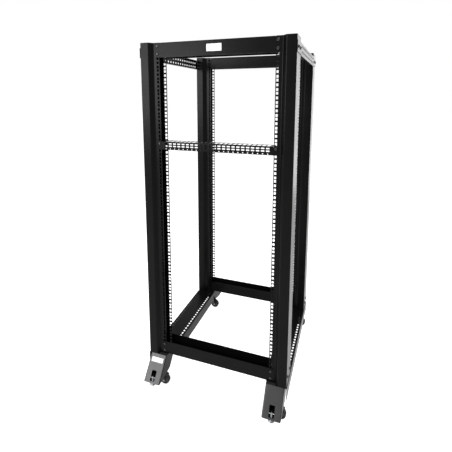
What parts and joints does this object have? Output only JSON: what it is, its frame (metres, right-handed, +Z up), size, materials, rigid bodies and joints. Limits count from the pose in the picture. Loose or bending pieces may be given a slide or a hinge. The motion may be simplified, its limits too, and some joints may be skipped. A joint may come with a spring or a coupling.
{
  "type": "open frame equipment rack",
  "caption": "Floor-standing open rack of folded steel posts with square mounting holes, slotted side rails and a cable bar, on slanted feet with swivel castors and levelling pads.",
  "frame": {"origin": "on the floor in the middle of the rack's outline, feet included", "axes": "+Z up, +X to the right seen from the front, the front towards -Y"},
  "size_m": [0.607, 0.764, 1.443],
  "materials": {
    "powder_coat": "fine-textured black powder coat",
    "foot_coat": "fine-textured dark grey powder coat",
    "bolt_steel": "black oxide",
    "zinc": "zinc plated",
    "wheel": "moulded black",
    "label": "bare white label"
  },
  "bodies": {
    "frame": {"post_front_left": "powder_coat", "post_front_right": "powder_coat", "post_rear_left": "powder_coat", "post_rear_right": "powder_coat", "beam_bottom_front": "powder_coat", "beam_bottom_rear": "powder_coat", "beam_top_front": "powder_coat", "beam_top_rear": "powder_coat", "rail_bottom_left": "powder_coat", "rail_bottom_right": "powder_coat", "rail_top_left": "powder_coat", "rail_top_right": "powder_coat", "cable_bar": "powder_coat", "foot_front_left": "foot_coat", "level_nut_front_left": "zinc", "castor_pin_front_left": "zinc", "foot_front_right": "foot_coat", "level_nut_front_right": "zinc", "castor_pin_front_right": "zinc", "foot_rear_left": "foot_coat", "level_nut_rear_left": "zinc", "castor_pin_rear_left": "zinc", "foot_rear_right": "foot_coat", "level_nut_rear_right": "zinc", "castor_pin_rear_right": "zinc", "beam_bolts_front": "bolt_steel", "beam_bolts_rear": "bolt_steel", "rail_bolts_left": "bolt_steel", "rail_bolts_right": "bolt_steel", "bar_screws": "bolt_steel", "label_top_beam": "label", "label_foot": "label"},
    "leveller_front_left": {"leveller_front_left": "zinc"},
    "fork_front_left": {"castor_fork_front_left": "zinc"},
    "wheel_front_left": {"castor_wheel_front_left": "wheel"},
    "leveller_front_right": {"leveller_front_right": "zinc"},
    "fork_front_right": {"castor_fork_front_right": "zinc"},
    "wheel_front_right": {"castor_wheel_front_right": "wheel"},
    "leveller_rear_left": {"leveller_rear_left": "zinc"},
    "fork_rear_left": {"castor_fork_rear_left": "zinc"},
    "wheel_rear_left": {"castor_wheel_rear_left": "wheel"},
    "leveller_rear_right": {"leveller_rear_right": "zinc"},
    "fork_rear_right": {"castor_fork_rear_right": "zinc"},
    "wheel_rear_right": {"castor_wheel_rear_right": "wheel"}
  },
  "joints": [
    {"name": "leveller_front_left_screw", "type": "slide", "parent": "frame", "child": "leveller_front_left", "axis": [0, 0, -1], "range_m": [0, 0.022]},
    {"name": "castor_front_left_swivel", "type": "hinge", "parent": "frame", "child": "fork_front_left", "pos_m": [-0.2535, -0.306, 0.055], "axis": [0, 0, 1], "continuous": true},
    {"name": "castor_front_left_roll", "type": "hinge", "parent": "fork_front_left", "child": "wheel_front_left", "pos_m": [-0.2295, -0.306, 0.022], "axis": [0, 1, 0], "continuous": true},
    {"name": "leveller_front_right_screw", "type": "slide", "parent": "frame", "child": "leveller_front_right", "axis": [0, 0, -1], "range_m": [0, 0.022]},
    {"name": "castor_front_right_swivel", "type": "hinge", "parent": "frame", "child": "fork_front_right", "pos_m": [0.2535, -0.306, 0.055], "axis": [0, 0, 1], "continuous": true},
    {"name": "castor_front_right_roll", "type": "hinge", "parent": "fork_front_right", "child": "wheel_front_right", "pos_m": [0.2775, -0.306, 0.022], "axis": [0, 1, 0], "continuous": true},
    {"name": "leveller_rear_left_screw", "type": "slide", "parent": "frame", "child": "leveller_rear_left", "axis": [0, 0, -1], "range_m": [0, 0.022]},
    {"name": "castor_rear_left_swivel", "type": "hinge", "parent": "frame", "child": "fork_rear_left", "pos_m": [-0.2535, 0.306, 0.055], "axis": [0, 0, 1], "continuous": true},
    {"name": "castor_rear_left_roll", "type": "hinge", "parent": "fork_rear_left", "child": "wheel_rear_left", "pos_m": [-0.2295, 0.306, 0.022], "axis": [0, 1, 0], "continuous": true},
    {"name": "leveller_rear_right_screw", "type": "slide", "parent": "frame", "child": "leveller_rear_right", "axis": [0, 0, -1], "range_m": [0, 0.022]},
    {"name": "castor_rear_right_swivel", "type": "hinge", "parent": "frame", "child": "fork_rear_right", "pos_m": [0.2535, 0.306, 0.055], "axis": [0, 0, 1], "continuous": true},
    {"name": "castor_rear_right_roll", "type": "hinge", "parent": "fork_rear_right", "child": "wheel_rear_right", "pos_m": [0.2775, 0.306, 0.022], "axis": [0, 1, 0], "continuous": true}
  ]
}
